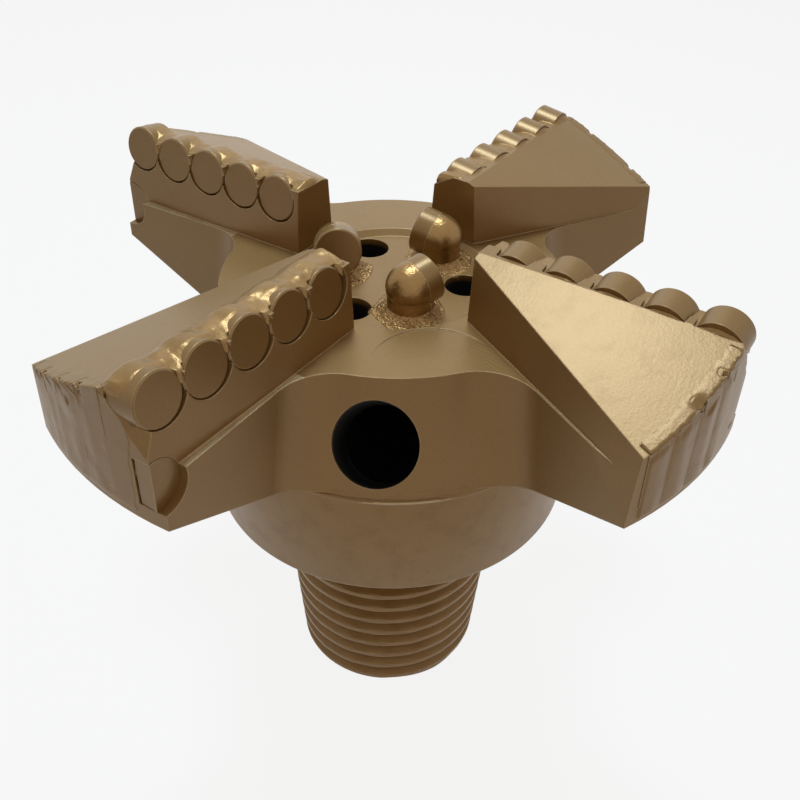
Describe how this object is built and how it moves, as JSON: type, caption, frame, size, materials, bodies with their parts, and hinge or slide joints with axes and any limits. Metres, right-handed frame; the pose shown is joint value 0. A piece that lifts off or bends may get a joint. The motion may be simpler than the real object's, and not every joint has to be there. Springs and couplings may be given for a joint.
{
  "type": "pdc drag bit",
  "caption": "Four-winged rotary drag bit with round diamond cutters, a ported hub and a tapered threaded pin.",
  "frame": {"origin": "centre of the pin's flat nose, where the bit stands", "axes": "+Z along the bit's axis from the pin to the crown, +X along one wing, whose leading face looks to +Y"},
  "size_m": [0.2002, 0.2002, 0.1686],
  "materials": {
    "body_paint": "sprayed bronze-gold paint over steel",
    "cutter_paint": "the same paint over carbide and diamond",
    "bar_paint": "the same paint over carbide bars"
  },
  "bodies": {
    "root": {"bit_head": "body_paint", "centre_cutter_1": "cutter_paint", "centre_cutter_2": "cutter_paint", "centre_cutter_3": "cutter_paint", "centre_post_1": "body_paint", "centre_post_2": "body_paint", "centre_post_3": "body_paint", "face_cutter_1_1": "cutter_paint", "face_cutter_1_2": "cutter_paint", "face_cutter_1_3": "cutter_paint", "face_cutter_1_4": "cutter_paint", "face_cutter_1_5": "cutter_paint", "face_cutter_2_1": "cutter_paint", "face_cutter_2_2": "cutter_paint", "face_cutter_2_3": "cutter_paint", "face_cutter_2_4": "cutter_paint", "face_cutter_2_5": "cutter_paint", "face_cutter_3_1": "cutter_paint", "face_cutter_3_2": "cutter_paint", "face_cutter_3_3": "cutter_paint", "face_cutter_3_4": "cutter_paint", "face_cutter_3_5": "cutter_paint", "face_cutter_4_1": "cutter_paint", "face_cutter_4_2": "cutter_paint", "face_cutter_4_3": "cutter_paint", "face_cutter_4_4": "cutter_paint", "face_cutter_4_5": "cutter_paint", "gauge_bar_1_1": "bar_paint", "gauge_bar_1_2": "bar_paint", "gauge_bar_1_3": "bar_paint", "gauge_bar_1_4": "bar_paint", "gauge_bar_2_1": "bar_paint", "gauge_bar_2_2": "bar_paint", "gauge_bar_2_3": "bar_paint", "gauge_bar_2_4": "bar_paint", "gauge_bar_3_1": "bar_paint", "gauge_bar_3_2": "bar_paint", "gauge_bar_3_3": "bar_paint", "gauge_bar_3_4": "bar_paint", "gauge_bar_4_1": "bar_paint", "gauge_bar_4_2": "bar_paint", "gauge_bar_4_3": "bar_paint", "gauge_bar_4_4": "bar_paint", "gauge_cutter_1": "cutter_paint", "gauge_cutter_2": "cutter_paint", "gauge_cutter_3": "cutter_paint", "gauge_cutter_4": "cutter_paint", "pin_shank": "body_paint", "post_weld_1": "body_paint", "post_weld_2": "body_paint", "post_weld_3": "body_paint"}
  },
  "joints": []
}
